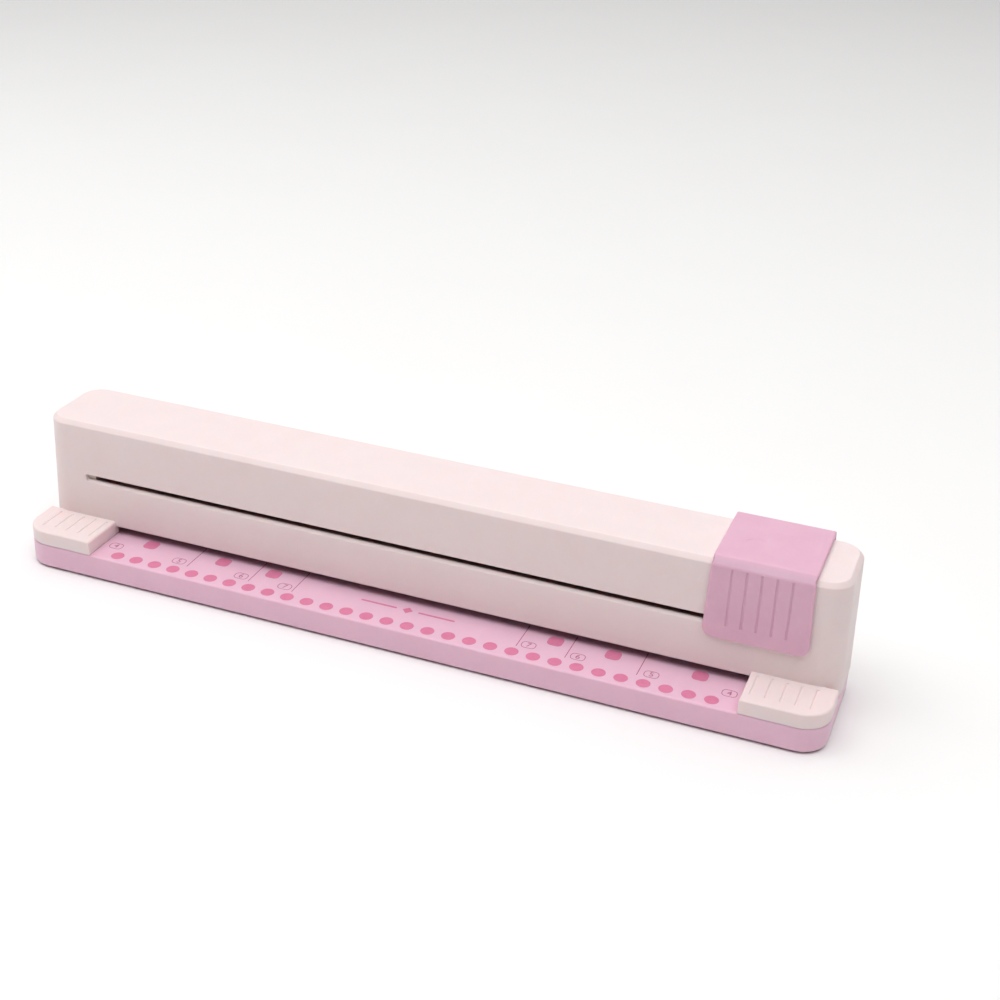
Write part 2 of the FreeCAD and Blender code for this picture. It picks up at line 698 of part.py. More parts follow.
def makeCamWedge():
    """The hardened wedge under the carriage. It is drawn camGap above the raised pins."""
    body = doc.addObject("PartDesign::Body", "cam_wedge")
    section = sketch(body, "camSketch", "XZ_Plane", "-camHalf", camLow, "-pinRow - camWide / 2")
    outline(section, [("camHalf - camNose", "0"), ("camHalf + camNose", "0"), ("2 * camHalf", "camRise"),
                      ("2 * camHalf", "camRise + camBack"), ("0", "camRise + camBack"), ("0", "camRise")])
    pad(body, section, "camWide")
    for n, x in enumerate(camScrewSpots):
        tapped = sketch(body, f"camTapped{n}", "XY_Plane", x, "pinRow", carriageLow)
        circle(tapped, "screwRound")
        pocket(body, tapped, "camBite")
    move(body, "sliderRest")
    return keep(body, "cam_wedge")


def makeGuideRod(label, way):
    return keep(rod(label, "rodRound", "rodLength", "-rodLength / 2", f"pinRow {way} rodSpread", "rodHeight",
                    alongX), label)


def makeBracket(label, side):
    """A bent steel bracket that carries the rods' ends and stands on the punch frame."""
    edge, footEdge = "bracketAt", "bracketAt"
    if side:
        edge, footEdge = "-bracketAt - sheetThick", f"bracketInset - {unitEnd}"
    plate = block(label + "Plate", edge, railFront, "flangeTop", "sheetThick", railDeep, "bracketHigh")
    foot = block(label + "Foot", footEdge, railFront, "flangeTop", f"{unitEnd} - bracketInset - bracketAt",
                 railDeep, "sheetThick")
    holes = [rod(f"{label}Hole{n}", "rodRound", "sheetThick", edge, f"pinRow {way} rodSpread", "rodHeight",
                 alongX) for n, way in enumerate("-+")]
    holes += [rod(f"{label}ScrewHole{n}", "screwRound + pinFit", "sheetThick", f"{side}bracketScrewX", y,
                  "flangeTop") for n, y in enumerate(bracketScrewSpots)]
    return keep(cut(label, join(label + "Body", [plate, foot]), group(label + "Holes", holes)), label)


def makeEndStop(label, side):
    """A soft block behind each end of the slot, which the slider's tongue comes to rest against."""
    left = "stopInner" if side == "" else "-stopInner - stopThick"
    return keep(block(label, left, "wall - housingFront", "slotLow - stopOver", "stopThick", "stopDeep",
                      "slotHigh + 2 * stopOver"), label)


def makeChipTray():
    """The tray for the paper chips: a floor strip, two rails, an end and a front with a finger notch."""
    inside, onFloor = "(wall - baseLength / 2)", "trayLow + trayFloor"
    long, high = f"trayEnd - {inside}", "trayTop - trayLow - trayFloor"
    keep(block("tray_floor", inside, "-trayFront", "trayLow", long, "trayFront + trayRear", "trayFloor"),
         "tray_floor")
    rails = [block(f"trayRail{n}", inside, y, onFloor, long, "trayWall", high)
             for n, y in enumerate(("-trayFront", "trayRear - trayWall"))]
    keep(group("tray_rails", rails), "tray_rails")
    keep(block("tray_end", "trayEnd - trayWall", "trayWall - trayFront", onFloor, "trayWall",
               "trayFront + trayRear - 2 * trayWall", high), "tray_end")
    closing = block("trayFrontBlock", "-baseLength / 2", "-trayFront", "trayLow", "wall",
                    "trayFront + trayRear", "trayTop - trayLow")
    notch = block("trayNotch", "-baseLength / 2 - cutOver", "(trayRear - trayFront) / 2 - notchLength / 2",
                  "trayTop - notchHigh", "notchDeep + cutOver", "notchLength", "notchHigh")
    keep(cut("tray_front", closing, notch), "tray_front")


def makeScrews():
    node = [screw(f"housingScrew{n}", x, y, "deckTop - deckThick", "deckThick + housingBite", headUp=False)
            for n, (x, y) in enumerate(housingScrewSpots)]
    keep(group("housing_screws", node), "housing_screws")
    node = [screw(f"frameScrew{n}", x, "pinRow", "deckTop + throat + sheetThick",
                  "throat + sheetThick + dieThick") for n, x in enumerate(frameScrewSpots)]
    keep(group("frame_screws", node), "frame_screws")
    node = [screw(f"unitScrew{n}", x, "unitScrewY", "dieSeat - seatUnder", "seatUnder + dieThick",
                  headUp=False)
            for n, x in enumerate(unitScrewSpots)]
    keep(group("unit_screws", node), "unit_screws")
    node = [screw(f"bracketScrew{n}", f"{side}bracketScrewX", y, "flangeTop + sheetThick", "2 * sheetThick")
            for n, (side, y) in enumerate((side, y) for _, side in sides for y in bracketScrewSpots)]
    keep(group("bracket_screws", node), "bracket_screws")
    node = [screw(f"camScrew{n}", f"sliderRest + {x}", "pinRow", camScrewSeat,
                  f"{camScrewSeat} - {carriageLow} + camBite") for n, x in enumerate(camScrewSpots)]
    keep(group("cam_screws", node), "cam_screws")
    node = [screw(f"plateScrew{n}", x, y, "footDrop + plateSunk", "plateScrewLong", headUp=False,
                  high="plateHeadHigh") for n, (x, y) in enumerate(plateScrewSpots)]
    keep(group("bottom_screws", node), "bottom_screws")
    node = []
    for n, x in enumerate(capScrewSpots):
        shank = rod(f"capScrewShank{n}", "capScrewRound", "capScrewLong", f"sliderRest + {x}", "capScrewY",
                    tongueLow)
        head = rod(f"capScrewHead{n}", "capScrewHead", "capScrewHeadHigh", f"sliderRest + {x}", "capScrewY",
                   f"{tongueLow} - capScrewHeadHigh")
        node.append(join(f"capScrew{n}", [shank, head]))
    keep(group("cap_screws", node), "cap_screws")


def makeFeet():
    feet = [rod(f"foot{n}", "footRound", "footDrop + footSunk", x, y) for n, (x, y) in enumerate(footSpots)]
    return keep(group("rubber_feet", feet), "rubber_feet")


makeHousing()
makeBase()
makeBottomPlate()
makeDiePlate()
makePunchFrame()
makePaperStop()
for name, side in sides:
    makeSpacer(f"throat_spacer_{name}", side)
    makeBracket(f"rod_bracket_{name}", side)
    makeEndStop(f"end_stop_{name}", side)
for number in range(1, int(sizes["holeCount"]) + 1):
    makePin(number)
makeSprings()
makeSliderCap()
makeCarriage()
makeCamWedge()
makeGuideRod("guide_rod_front", "-")
makeGuideRod("guide_rod_rear", "+")
makeChipTray()
makeScrews()
makeFeet()

doc.recompute()
for thing in doc.Objects:
    if {"Invalid", "Error"} & set(thing.State):
        raise RuntimeError(f"{thing.Name} failed: {thing.State}")
os.makedirs("parts", exist_ok=True)
for part in subparts:
    if part.Shape.isNull() or not part.Shape.isValid():
        raise RuntimeError(f"{part.Label} has no valid shape")
for part in subparts:
    part.Shape.exportStep(f"parts/{part.Label}.step")
    box = part.Shape.BoundBox
    spans = " x ".join(f"{span:.1f}" for span in (box.XLength, box.YLength, box.ZLength))
    print(f"{part.Label}: {len(part.Shape.Solids)} solid, {spans} mm")
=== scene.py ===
import json
import math

import bpy
from mathutils import Matrix, Vector


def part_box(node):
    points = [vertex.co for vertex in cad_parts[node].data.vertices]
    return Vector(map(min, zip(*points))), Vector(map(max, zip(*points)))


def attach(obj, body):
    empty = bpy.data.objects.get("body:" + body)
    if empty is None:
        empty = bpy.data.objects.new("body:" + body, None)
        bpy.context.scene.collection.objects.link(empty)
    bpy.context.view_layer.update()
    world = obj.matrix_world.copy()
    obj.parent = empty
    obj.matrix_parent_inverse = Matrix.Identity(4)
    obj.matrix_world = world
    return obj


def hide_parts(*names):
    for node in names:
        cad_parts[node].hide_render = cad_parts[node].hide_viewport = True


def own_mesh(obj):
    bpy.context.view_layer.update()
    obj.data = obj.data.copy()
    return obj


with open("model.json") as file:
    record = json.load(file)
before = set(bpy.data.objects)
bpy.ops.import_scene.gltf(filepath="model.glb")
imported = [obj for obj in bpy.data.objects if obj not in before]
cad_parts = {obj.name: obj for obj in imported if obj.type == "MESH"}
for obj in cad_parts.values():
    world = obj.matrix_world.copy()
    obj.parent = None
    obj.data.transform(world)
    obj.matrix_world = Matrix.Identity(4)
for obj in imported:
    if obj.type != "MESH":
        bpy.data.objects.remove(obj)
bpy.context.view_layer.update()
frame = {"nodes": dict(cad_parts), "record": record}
scene = bpy.context.scene
nodes = frame["nodes"]
mm = 0.001
print("frame loaded:", len(nodes), "nodes")


# ---- modelling helpers; corners and sizes are in millimetres

past, wellPast = 1.0, 5.0           # how far a cutter reaches beyond what it cuts
near = 0.02                         # two heights closer than this are the same height
steep, tallEdge = 3, 1.0            # an upright edge rises this many times its lean, and this far
mergeGap = 0.002                    # points closer than this become one
facing = 0.9                        # how much of a normal lies along the axis that its face faces
cornerSteps, insideSteps, edgeSteps = 14, 10, 4
creaseAngle = 40


def deselectAll():
    if bpy.context.mode != "OBJECT":
        bpy.ops.object.mode_set(mode="OBJECT")
    bpy.ops.object.select_all(action="DESELECT")


def onlySelect(piece):
    deselectAll()
    piece.select_set(True)
    bpy.context.view_layer.objects.active = piece


def placed(name):
    # the new primitive gets its name, and its place goes into its mesh
    piece = bpy.context.object
    piece.name = piece.data.name = name
    bpy.ops.object.transform_apply(location=True, rotation=True, scale=True)
    return piece


def addBox(name, low, high):
    deselectAll()
    middle = [(a + b) / 2 * mm for a, b in zip(low, high)]
    span = [(b - a) * mm for a, b in zip(low, high)]
    bpy.ops.mesh.primitive_cube_add(size=1, location=middle, scale=span)
    return placed(name)


def addRod(name, x, y, low, high, radius, sides):
    deselectAll()
    middle = (x * mm, y * mm, (low + high) / 2 * mm)
    bpy.ops.mesh.primitive_cylinder_add(vertices=sides, radius=radius * mm, location=middle,
                                        depth=(high - low) * mm)
    return placed(name)


def selectNone(piece, kind):
    # leaves the piece in object mode with nothing of its mesh selected
    onlySelect(piece)
    bpy.ops.object.mode_set(mode="EDIT")
    bpy.ops.mesh.select_mode(type=kind)
    bpy.ops.mesh.select_all(action="DESELECT")
    bpy.ops.object.mode_set(mode="OBJECT")


def pickFaces(piece, chosen):
    # leaves the piece in edit mode with the faces that chosen(middle, normal) accepts
    selectNone(piece, "FACE")
    for face in piece.data.polygons:
        face.select = chosen(face.center / mm, face.normal)
    bpy.ops.object.mode_set(mode="EDIT")


def pickEdges(piece, chosen):
    # leaves the piece in edit mode with the edges that chosen(one end, other end) accepts
    selectNone(piece, "EDGE")
    points = [v.co / mm for v in piece.data.vertices]
    for edge in piece.data.edges:
        edge.select = chosen(points[edge.vertices[0]], points[edge.vertices[1]])
    bpy.ops.object.mode_set(mode="EDIT")


def bevelEdges(piece, amount, steps, chosen):
    pickEdges(piece, chosen)
    bpy.ops.mesh.bevel(offset=amount * mm, segments=steps, affect="EDGES")
    bpy.ops.object.mode_set(mode="OBJECT")


def upright(a, b):
    rise, lean = abs(a.z - b.z), abs(a.x - b.x) + abs(a.y - b.y)
    return rise > steep * lean and rise > tallEdge


def level(a, b, z):
    return abs(a.z - z) < near and abs(b.z - z) < near


def joined(pieces):
    onlySelect(pieces[0])
    for piece in pieces[1:]:
        piece.select_set(True)
    if len(pieces) > 1:
        bpy.ops.object.join()
    return pieces[0]


def combine(piece, tools, operation="DIFFERENCE"):
    # tools that don't meet each other cut or join in one go
    tool = joined(tools)
    onlySelect(piece)
    bpy.ops.object.modifier_add(type="BOOLEAN")
    step = piece.modifiers[-1]
    step.operation, step.solver, step.object = operation, "EXACT", tool
    bpy.ops.object.modifier_apply(modifier=step.name)
    bpy.data.objects.remove(tool, do_unlink=True)
    return piece


def mergeClose(piece):
    # points that a cut has left a hair apart become one, so that the roundings close
    selectNone(piece, "EDGE")
    bpy.ops.object.mode_set(mode="EDIT")
    bpy.ops.mesh.select_all(action="SELECT")
    bpy.ops.mesh.remove_doubles(threshold=mergeGap * mm)
    bpy.ops.object.mode_set(mode="OBJECT")


def faceOutwards(piece):
    onlySelect(piece)
    bpy.ops.object.mode_set(mode="EDIT")
    bpy.ops.mesh.select_all(action="SELECT")
    bpy.ops.mesh.normals_make_consistent(inside=False)
    bpy.ops.object.mode_set(mode="OBJECT")


def soften(piece, width, steps=3, sharp=creaseAngle):
    # a narrow rounding on every sharp edge, then smooth shading
    onlySelect(piece)
    bpy.ops.object.modifier_add(type="BEVEL")
    step = piece.modifiers[-1]
    step.width, step.segments = width * mm, steps
    step.limit_method, step.angle_limit = "ANGLE", math.radians(sharp)
    step.use_clamp_overlap, step.miter_outer = False, "MITER_ARC"
    bpy.ops.object.modifier_apply(modifier=step.name)
    bpy.ops.object.shade_smooth_by_angle(angle=math.radians(sharp))


def smooth(piece):
    # large faces keep their own normals, so that only the roundings between them are shaded round
    onlySelect(piece)
    bpy.ops.object.shade_smooth_by_angle(angle=math.radians(creaseAngle))
    bpy.ops.object.modifier_add(type="WEIGHTED_NORMAL")
    step = piece.modifiers[-1]
    step.keep_sharp, step.weight = True, 100
    bpy.ops.object.modifier_apply(modifier=step.name)


def copyAt(piece, name, shift):
    # a copy with a mesh of its own, moved inside that mesh
    twin = piece.copy()
    twin.data = piece.data.copy()
    twin.name = twin.data.name = name
    twin.data.transform(Matrix.Translation(Vector(shift) * mm))
    scene.collection.objects.link(twin)
    return twin


def finish(piece, body, slotName, *replaced, finishName=None):
    # the material of its slot unless another is named, then its body; the CAD nodes it replaces are
    # hidden
    piece.data.materials.clear()
    piece.data.materials.append(materials[finishName or slotName])
    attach(piece, body)
    if replaced:
        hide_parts(*replaced)


# ---- camera, floor and light

cameraView = {"place": (0.2342, -0.55364, 0.37215), "azimuth": 19.81, "elevation": 27.43,
              "roll": 2.58, "lens": 57.27, "sensor": 36.0}


def makeCamera():
    data = bpy.data.cameras.new("viewCamera")
    camera = bpy.data.objects.new("viewCamera", data)
    scene.collection.objects.link(camera)
    data.lens, data.sensor_width = cameraView["lens"], cameraView["sensor"]
    azimuth, elevation, roll = (math.radians(cameraView[k]) for k in ("azimuth", "elevation", "roll"))
    flat = math.cos(elevation)
    back = Vector((math.sin(azimuth) * flat, -math.cos(azimuth) * flat, math.sin(elevation)))
    right = (-back).cross(Vector((0, 0, 1))).normalized()
    up = right.cross(-back)
    turned = right * math.cos(roll) + up * math.sin(roll)
    raised = up * math.cos(roll) - right * math.sin(roll)
    axes = Matrix((turned, raised, back)).transposed().to_4x4()
    camera.matrix_world = Matrix.Translation(cameraView["place"]) @ axes
    scene.camera = camera


lights = {
    "backLight": {"place": (0, 1.3, 2.0), "aim": (0, 0.8, 0), "size": (4.0, 2.4), "power": 34},
    "topLight": {"place": (0, -0.15, 1.6), "aim": (0, 0, 0.03), "size": (2.4, 0.6), "power": 7},
    "frontLight": {"place": (0, -0.6, 1.5), "aim": (0, 0, 0.03), "size": (2.4, 0.8), "power": 15.2},
    "leftLight": {"place": (-1.4, -0.1, 0.8), "aim": (0, 0, 0.03), "size": (1.0, 0.9), "power": 4},
}
room = {"worldColour": (1.0, 0.985, 0.98, 1), "worldPower": 0.12, "floorSize": 6.0,
        "floorColour": (0.95, 0.945, 0.94), "floorWarm": (0.93, 0.92, 0.915),
        "floorRough": 0.9, "floorGrain": 9.0}


def makeLights():
    for name, light in lights.items():
        data = bpy.data.lights.new(name, "AREA")
        data.shape = "RECTANGLE"
        data.size, data.size_y = light["size"]
        data.energy = light["power"]
        lamp = bpy.data.objects.new(name, data)
        scene.collection.objects.link(lamp)
        lamp.location = light["place"]
        towards = Vector(light["aim"]) - lamp.location
        lamp.rotation_euler = towards.to_track_quat("-Z", "Y").to_euler()
    world = bpy.data.worlds.new("studioWorld")
    world.use_nodes = True
    sky = world.node_tree.nodes["Background"]
    sky.inputs["Color"].default_value = room["worldColour"]
    sky.inputs["Strength"].default_value = room["worldPower"]
    scene.world = world
    scene.view_settings.view_transform = "Standard"


# ---- shader node groups and materials

def addNode(tree, kind, inputs=None, **settings):
    node = tree.nodes.new("ShaderNode" + kind)
    for name, value in settings.items():
        setattr(node, name, value)
    for name, value in (inputs or {}).items():
        if isinstance(value, bpy.types.NodeSocket):
            tree.links.new(value, node.inputs[name])
        else:
            node.inputs[name].default_value = value
    return node


def newGroup(name, numbers, outputs):
    tree = bpy.data.node_groups.new(name, "ShaderNodeTree")
    for label, start in numbers.items():
        given = tree.interface.new_socket(label, in_out="INPUT", socket_type="NodeSocketFloat")
        given.default_value = start
    for label in outputs:
        tree.interface.new_socket(label, in_out="OUTPUT", socket_type="NodeSocketFloat")
    return tree, tree.nodes.new("NodeGroupInput"), tree.nodes.new("NodeGroupOutput")


def objectPlace(tree):
    return addNode(tree, "TexCoord").outputs["Object"]


def stretched(tree, across):
    # object coordinates, drawn out along one or two axes
    drawn = addNode(tree, "Mapping", {"Vector": objectPlace(tree), "Scale": across})
    return drawn.outputs["Vector"]


def noise(tree, place, scale, detail, roughness=0.5):
    return addNode(tree, "TexNoise", {"Vector": place, "Scale": scale, "Detail": detail,
                                      "Roughness": roughness}).outputs[0]


def contrast(tree, value, low, high):
    # everything between low and high is spread over the whole range from 0 to 1
    return addNode(tree, "MapRange", {"Value": value, "From Min": low, "From Max": high}).outputs[0]


def calculate(tree, operation, first, second):
    return addNode(tree, "Math", {0: first, 1: second}, operation=operation).outputs[0]


def putOut(tree, put, results):
    for label, value in results.items():
        tree.links.new(value, put.inputs[label])
    return tree


mould = {"waviness": 6.0, "markStretch": (1.0, 0.12, 0.6), "markScale": 240.0,
         "mottleRange": (0.3, 0.7), "markRange": (0.56, 0.74)}
ground = {"lineStretch": (0.02, 1.0, 1.0), "lineScale": 900.0, "lineRange": (0.3, 0.7),
          "cloudRange": (0.35, 0.7)}


def makeMouldedGrain():
    # spark-eroded mould texture, slow colour mottle and light handling marks
    tree, given, put = newGroup("mouldedGrain", {"grainScale": 4200.0, "mottleScale": 80.0},
                                ("Height", "Mottle", "Marks"))
    place, grainScale = objectPlace(tree), given.outputs["grainScale"]
    fine = noise(tree, place, grainScale, detail=3.0)
    cells = addNode(tree, "TexVoronoi", {"Vector": place, "Scale": grainScale})
    broad = noise(tree, place, given.outputs["mottleScale"], detail=4.0, roughness=0.6)
    # a shallow pebble on top of a much slower waviness
    pebble = calculate(tree, "ADD", fine, cells.outputs["Distance"])
    wavy = calculate(tree, "MULTIPLY", broad, mould["waviness"])
    scratch = noise(tree, stretched(tree, mould["markStretch"]), mould["markScale"],
                    detail=6.0, roughness=0.7)
    return putOut(tree, put, {"Height": calculate(tree, "ADD", pebble, wavy),
                              "Mottle": contrast(tree, broad, *mould["mottleRange"]),
                              "Marks": contrast(tree, scratch, *mould["markRange"])})


def makeMetalGrain():
    # fine lines left by grinding along X, with cloudy patches between them
    tree, given, put = newGroup("metalGrain", {"cloudScale": 90.0}, ("Height", "Lines", "Cloud"))
    line = noise(tree, stretched(tree, ground["lineStretch"]), ground["lineScale"],
                 detail=5.0, roughness=0.75)
    cloud = noise(tree, objectPlace(tree), given.outputs["cloudScale"], detail=5.0)
    return putOut(tree, put, {"Height": line,
                              "Lines": contrast(tree, line, *ground["lineRange"]),
                              "Cloud": contrast(tree, cloud, *ground["cloudRange"])})


def newMaterial(name, fixed):
    material = bpy.data.materials.new(name)
    material.use_nodes = True
    shader = material.node_tree.nodes["Principled BSDF"]
    for label, value in fixed.items():
        shader.inputs[label].default_value = value
    return material, material.node_tree, shader


def useGroup(tree, group, values):
    node = tree.nodes.new("ShaderNodeGroup")
    node.node_tree = group
    for label, value in values.items():
        node.inputs[label].default_value = value
    return node


def blendColour(tree, mask, first, second):
    mix = addNode(tree, "Mix", data_type="RGBA")
    tree.links.new(mask, mix.inputs["Factor"])
    # the colour sockets A and B share their names with the other kinds, so they go by number
    for number, colour in ((6, first), (7, second)):
        if isinstance(colour, bpy.types.NodeSocket):
            tree.links.new(colour, mix.inputs[number])
        else:
            mix.inputs[number].default_value = (*colour, 1)
    return mix.outputs[2]


def spread(tree, mask, low, high):
    return addNode(tree, "MapRange", {"Value": mask, "To Min": low, "To Max": high}).outputs[0]


plasticLook = {"gloss": 0.4, "through": 0.0, "throughTint": (1.0, 0.62, 0.5), "throughDepth": 0.003,
               "grain": 4200.0, "mottle": 80.0, "marks": 0.25, "worn": 0.14, "bump": 0.22,
               "bumpDepth": 0.00006}
metalLook = {"metal": 1.0, "cloud": 90.0, "lines": 0.35, "worn": 0.18, "bump": 0.25,
             "bumpDepth": 0.00004}


def dress(tree, shader, grain, look, tone, wear, paleShare):
    # tone mixes the two colours; wear makes the surface paler and rougher; the height is a bump
    tint = blendColour(tree, grain.outputs[tone], look["colour"], look["deep"])
    paler = spread(tree, grain.outputs[wear], 0.0, look[paleShare])
    rougher = spread(tree, grain.outputs[wear], look["rough"], look["rough"] + look["worn"])
    bump = addNode(tree, "Bump", {"Height": grain.outputs["Height"], "Strength": look["bump"],
                                  "Distance": look["bumpDepth"]})
    tree.links.new(blendColour(tree, paler, tint, look["pale"]), shader.inputs["Base Color"])
    tree.links.new(rougher, shader.inputs["Roughness"])
    tree.links.new(bump.outputs[0], shader.inputs["Normal"])


def makePlastic(name, own):
    look = {**plasticLook, **own}
    material, tree, shader = newMaterial(name, {"Specular IOR Level": look["gloss"],
                                                "Subsurface Weight": look["through"],
                                                "Subsurface Radius": look["throughTint"],
                                                "Subsurface Scale": look["throughDepth"]})
    grain = useGroup(tree, groups["mouldedGrain"], {"grainScale": look["grain"],
                                                    "mottleScale": look["mottle"]})
    dress(tree, shader, grain, look, "Mottle", "Marks", "marks")
    return material


def makeMetal(name, own):
    look = {**metalLook, **own}
    material, tree, shader = newMaterial(name, {"Metallic": look["metal"]})
    grain = useGroup(tree, groups["metalGrain"], {"cloudScale": look["cloud"]})
    dress(tree, shader, grain, look, "Cloud", "Lines", "lines")
    return material


plastics = {
    "cream_plastic": {"colour": (0.90, 0.757, 0.750), "deep": (0.882, 0.737, 0.729),
                      "pale": (0.92, 0.84, 0.83), "rough": 0.46, "through": 0.4},
    "pink_base": {"colour": (0.865, 0.560, 0.690), "deep": (0.84, 0.53, 0.663),
                  "pale": (0.90, 0.64, 0.75), "rough": 0.36, "through": 0.4},
    "pink_slider": {"colour": (0.80, 0.48, 0.61), "deep": (0.76, 0.44, 0.575),
                    "pale": (0.86, 0.58, 0.69), "rough": 0.42, "through": 0.3},
    "pink_tray": {"colour": (0.84, 0.50, 0.62), "deep": (0.79, 0.45, 0.575),
                  "pale": (0.88, 0.60, 0.70), "rough": 0.48},
    "white_plastic": {"colour": (0.82, 0.81, 0.78), "deep": (0.76, 0.75, 0.71),
                      "pale": (0.87, 0.86, 0.84), "rough": 0.4, "grain": 3000.0},
    "soft_cream": {"colour": (0.82, 0.73, 0.66), "deep": (0.74, 0.65, 0.57),
                   "pale": (0.86, 0.79, 0.73), "rough": 0.75, "grain": 2600.0, "gloss": 0.25},
    "foot_rubber": {"colour": (0.035, 0.032, 0.034), "deep": (0.022, 0.02, 0.021),
                    "pale": (0.09, 0.085, 0.085), "rough": 0.78, "grain": 2200.0, "bump": 0.5,
                    "gloss": 0.25},
    "ink_pink": {"colour": (0.76, 0.235, 0.39), "deep": (0.71, 0.20, 0.35),
                 "pale": (0.82, 0.32, 0.47), "rough": 0.5, "mottle": 320.0, "marks": 0.35,
                 "bump": 0.12},
    "ink_line": {"colour": (0.50, 0.15, 0.27), "deep": (0.44, 0.12, 0.23),
                 "pale": (0.62, 0.26, 0.38), "rough": 0.5, "mottle": 420.0, "marks": 0.4,
                 "bump": 0.12},
}
metals = {
    "ground_steel": {"colour": (0.62, 0.62, 0.63), "deep": (0.52, 0.52, 0.54),
                     "pale": (0.74, 0.74, 0.75), "rough": 0.2},
    "plated_steel": {"colour": (0.62, 0.56, 0.50), "deep": (0.52, 0.46, 0.40),
                     "pale": (0.72, 0.66, 0.60), "rough": 0.45, "metal": 0.6, "cloud": 140.0},
    "pin_steel": {"colour": (0.62, 0.60, 0.58), "deep": (0.52, 0.50, 0.48),
                  "pale": (0.74, 0.72, 0.70), "rough": 0.32, "metal": 0.7},
    "spring_copper": {"colour": (0.82, 0.46, 0.30), "deep": (0.68, 0.35, 0.21),
                      "pale": (0.90, 0.60, 0.43), "rough": 0.42, "metal": 0.55},
    "screw_steel": {"colour": (0.55, 0.55, 0.54), "deep": (0.46, 0.46, 0.45),
                    "pale": (0.68, 0.68, 0.67), "rough": 0.3, "cloud": 260.0},
}


def makeFloor():
    deselectAll()
    bpy.ops.mesh.primitive_plane_add(size=room["floorSize"], location=(0, 0, 0))
    floor = bpy.context.object
    floor.name = "paleFloor"
    material, tree, shader = newMaterial("palePaper", {"Roughness": room["floorRough"]})
    grain = noise(tree, objectPlace(tree), room["floorGrain"], detail=3.0)
    tint = blendColour(tree, grain, room["floorColour"], room["floorWarm"])
    tree.links.new(tint, shader.inputs["Base Color"])
    floor.data.materials.append(material)


makeCamera()
makeLights()
groups = {"mouldedGrain": makeMouldedGrain(), "metalGrain": makeMetalGrain()}
materials = {name: makePlastic(name, look) for name, look in plastics.items()}
materials.update({name: makeMetal(name, look) for name, look in metals.items()})
makeFloor()
print("camera, light and", len(materials), "materials ready")

# the CAD nodes take the material of the slot that the record gives them
for part in frame["record"]["subparts"]:
    node = nodes[part["node"]]
    node.data.materials.clear()
    node.data.materials.append(materials[part["material_slot"]])


# ---- the housing moulding, with its two end pads

housing = {"wall": 2.2, "corner": 10.4, "topLength": 366.8, "chamfer": 1.95, "cavityLength": 361.6,
           "front": -9.45, "edge": 0.4,
           "padInner": 149.3, "padOuter": 184.75, "padFront": -31.45, "padTop": 18.8,
           "padCorner": 12.0, "padEdge": 0.9,
           "slotHalf": 163.5, "slotLow": 37.4, "slotHigh": 40.1, "slotRound": 0.9, "slotLip": 1.15}
groove = {"count": 5, "pitch": 6.1, "wide": 1.0, "deep": 0.5, "round": 0.3, "steps": 3,
          "neck": 0.12, "over": 0.3, "flare": 2.1,
          "padShift": 2.3, "padStart": 5.4, "padEnd": 19.9}


def addGroove(name, across, start, end, surface, outward):
    # a rounded slot cutter whose mouth flares, so that the lips of the groove come out soft;
    # outward is the axis and sign that the surface faces
    axis, sign = outward
    low, high = [across - groove["wide"] / 2] * 3, [across + groove["wide"] / 2] * 3
    run = 3 - axis
    low[run], high[run] = start, end
    low[axis], high[axis] = sorted((surface - sign * groove["deep"], surface))
    cutter = addBox(name, low, high)
    bevelEdges(cutter, groove["round"], groove["steps"], lambda a, b: abs(a[axis] - surface) > near
               and abs(b[axis] - surface) > near)
    # the mouth sinks to its neck, then widens from there on its way out
    pickFaces(cutter, lambda middle, normal: normal[axis] * sign > facing)
    sink, rise = [0, 0, 0], [0, 0, 0]
    sink[axis], rise[axis] = -sign * groove["neck"] * mm, sign * groove["over"] * mm
    bpy.ops.transform.translate(value=sink)
    bpy.ops.mesh.extrude_region_move(TRANSFORM_OT_translate={"value": rise})
    bpy.ops.transform.resize(value=(groove["flare"], 1, 1), center_override=(across * mm, 0, 0))
    bpy.ops.object.mode_set(mode="OBJECT")
    return cutter


def grooveRow(name, middle, start, end, surface, outward):
    firstAt = middle - (groove["count"] - 1) / 2 * groove["pitch"]
    return [addGroove(name, firstAt + n * groove["pitch"], start, end, surface, outward)
            for n in range(groove["count"])]


def modelPads(low):
    look, pads = housing, []
    for side in (-1, 1):
        ends = sorted((side * look["padInner"], side * look["padOuter"]))
        pad = addBox("endPad", (ends[0], look["padFront"], low.z),
                     (ends[1], look["front"] + look["wall"] / 2, look["padTop"]))
        bevelEdges(pad, look["padCorner"], cornerSteps, lambda a, b: upright(a, b)
                   and a.y < look["front"] and abs(a.x) > (look["padInner"] + look["padOuter"]) / 2)
        bevelEdges(pad, look["padEdge"], edgeSteps, lambda a, b: level(a, b, look["padTop"])
                   and min(a.y, b.y) < look["front"])
        pads.append(pad)
    return pads


def slotCutter():
    # the lower lip of the slot slopes outwards
    look = housing
    slot = addBox("slot", (-look["slotHalf"], look["front"] + look["slotLip"], look["slotLow"]),
                  (look["slotHalf"], look["front"] + look["wall"] + past, look["slotHigh"]))
    bevelEdges(slot, look["slotRound"], edgeSteps, lambda a, b: abs(a.y - b.y) > tallEdge)
    flare = look["slotLip"] + past
    pickFaces(slot, lambda middle, normal: normal.y < -facing)
    bpy.ops.mesh.extrude_region_move(TRANSFORM_OT_translate={"value": (0, -flare * mm, 0)})
    tall = look["slotHigh"] - look["slotLow"]
    bpy.ops.transform.resize(value=(1, 1, (tall + flare) / tall),
                             center_override=(0, 0, look["slotHigh"] * mm))
    bpy.ops.object.mode_set(mode="OBJECT")
    return slot


